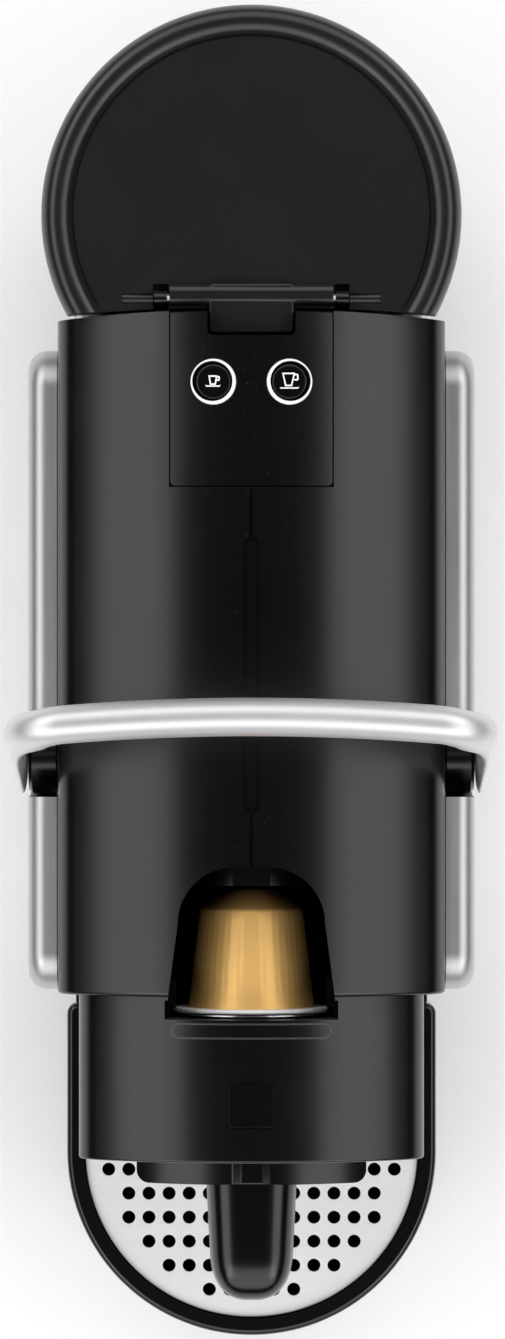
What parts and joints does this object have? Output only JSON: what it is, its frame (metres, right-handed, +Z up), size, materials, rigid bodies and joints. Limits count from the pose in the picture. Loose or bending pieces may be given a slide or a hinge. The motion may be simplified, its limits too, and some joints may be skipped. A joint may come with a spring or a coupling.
{
  "type": "pod coffee machine",
  "caption": "Compact pod coffee machine with a lever, a pod slot on top, a removable rear water tank, a fold-up cup support and a pull-out drip tray with used-pod container.",
  "frame": {"origin": "on the table, under the middle of the machine's footprint", "axes": "+Z up, the cup space at -Y and the water tank at +Y, +X to the right seen from the front"},
  "size_m": [0.111, 0.3259, 0.2759],
  "materials": {
    "black_plastic": "satin black",
    "gloss_plastic": "gloss black",
    "rubber": "matte",
    "aluminium": "brushed",
    "chrome": "polished",
    "steel": "satin",
    "brass": "plain",
    "gold_aluminium": "gold lacquer",
    "foil": "foil",
    "smoked_clear": "smoked clear plastic",
    "light_ring": "translucent white",
    "board": "circuit board",
    "silicone": "silicone"
  },
  "bodies": {
    "machine": {"base_plate": "black_plastic", "housing": "black_plastic", "head_cover": "black_plastic", "inner_frame": "black_plastic", "brew_frame": "black_plastic", "pod_chute": "black_plastic", "control_panel": "gloss_plastic", "pod_guide_left": "gloss_plastic", "pod_guide_right": "gloss_plastic", "flow_meter": "gloss_plastic", "tank_dock": "gloss_plastic", "coffee_outlet": "gloss_plastic", "foot_front_left": "rubber", "foot_front_right": "rubber", "foot_rear_left": "rubber", "foot_rear_right": "rubber", "pump_mount": "rubber", "cord_gland": "rubber", "side_panel_left": "aluminium", "side_panel_right": "aluminium", "thermoblock": "aluminium", "base_screw_front_left": "steel", "base_screw_front_right": "steel", "base_screw_rear_left": "steel", "base_screw_rear_right": "steel", "extraction_plate": "steel", "water_pump": "steel", "injector_tube": "brass", "espresso_light_ring": "light_ring", "lungo_light_ring": "light_ring", "control_board": "board", "power_board": "board", "suction_hose": "silicone", "meter_hose": "silicone", "pressure_hose": "silicone", "brew_hose": "silicone", "outlet_hose": "silicone"},
    "lever": {"lever_handle": "chrome", "lever_hub_left": "gloss_plastic", "lever_hub_right": "gloss_plastic", "crank_left": "steel", "crank_right": "steel"},
    "cage": {"pod_cage": "gloss_plastic"},
    "pod": {"pod_shell": "gold_aluminium", "pod_foil": "foil"},
    "tank": {"water_tank": "smoked_clear", "lid_hinge_pin": "steel"},
    "valve": {"tank_valve": "silicone"},
    "lid": {"tank_lid": "black_plastic"},
    "module": {"drip_tray": "black_plastic", "pod_container": "black_plastic", "fold_pin_left": "steel", "fold_pin_right": "steel"},
    "support": {"cup_support": "gloss_plastic"},
    "grid": {"drip_grid": "steel"},
    "espresso": {"espresso_button": "gloss_plastic"},
    "lungo": {"lungo_button": "gloss_plastic"},
    "piston": {"pump_piston": "steel"}
  },
  "joints": [
    {"name": "lever_hinge", "type": "hinge", "parent": "machine", "child": "lever", "pos_m": [0, -0.011, 0.186], "axis": [1, 0, 0], "range_deg": [0, 64]},
    {"name": "cage_slide", "type": "slide", "parent": "machine", "child": "cage", "axis": [0, -1, 0], "range_m": [0, 0.0287]},
    {"name": "pod_lift", "type": "slide", "parent": "machine", "child": "pod", "axis": [0, 0, 1], "range_m": [0, 0.085]},
    {"name": "tank_lift", "type": "slide", "parent": "machine", "child": "tank", "axis": [0, 0, 1], "range_m": [0, 0.225]},
    {"name": "valve_slide", "type": "slide", "parent": "tank", "child": "valve", "axis": [0, 0, 1], "range_m": [0, 0.002], "stiffness_N_per_m": 150},
    {"name": "lid_hinge", "type": "hinge", "parent": "tank", "child": "lid", "pos_m": [0, 0.095, 0.2198], "axis": [1, 0, 0], "range_deg": [0, 95]},
    {"name": "module_slide", "type": "slide", "parent": "machine", "child": "module", "axis": [0, -1, 0], "range_m": [0, 0.12]},
    {"name": "support_fold", "type": "hinge", "parent": "module", "child": "support", "pos_m": [0, -0.0735, 0.042], "axis": [1, 0, 0], "range_deg": [-90, 0]},
    {"name": "grid_lift", "type": "slide", "parent": "support", "child": "grid", "axis": [0, 0, 1], "range_m": [0, 0.05]},
    {"name": "espresso_press", "type": "slide", "parent": "machine", "child": "espresso", "axis": [0, 0, -1], "range_m": [0, 0.0012], "stiffness_N_per_m": 250},
    {"name": "lungo_press", "type": "slide", "parent": "machine", "child": "lungo", "axis": [0, 0, -1], "range_m": [0, 0.0012], "stiffness_N_per_m": 250},
    {"name": "piston_slide", "type": "slide", "parent": "machine", "child": "piston", "axis": [0, 0, 1], "range_m": [0, 0.003], "stiffness_N_per_m": 400}
  ],
  "couplings": [
    {"joint": "cage_slide", "follows": "lever_hinge", "m_per_rad": 0.025618}
  ]
}
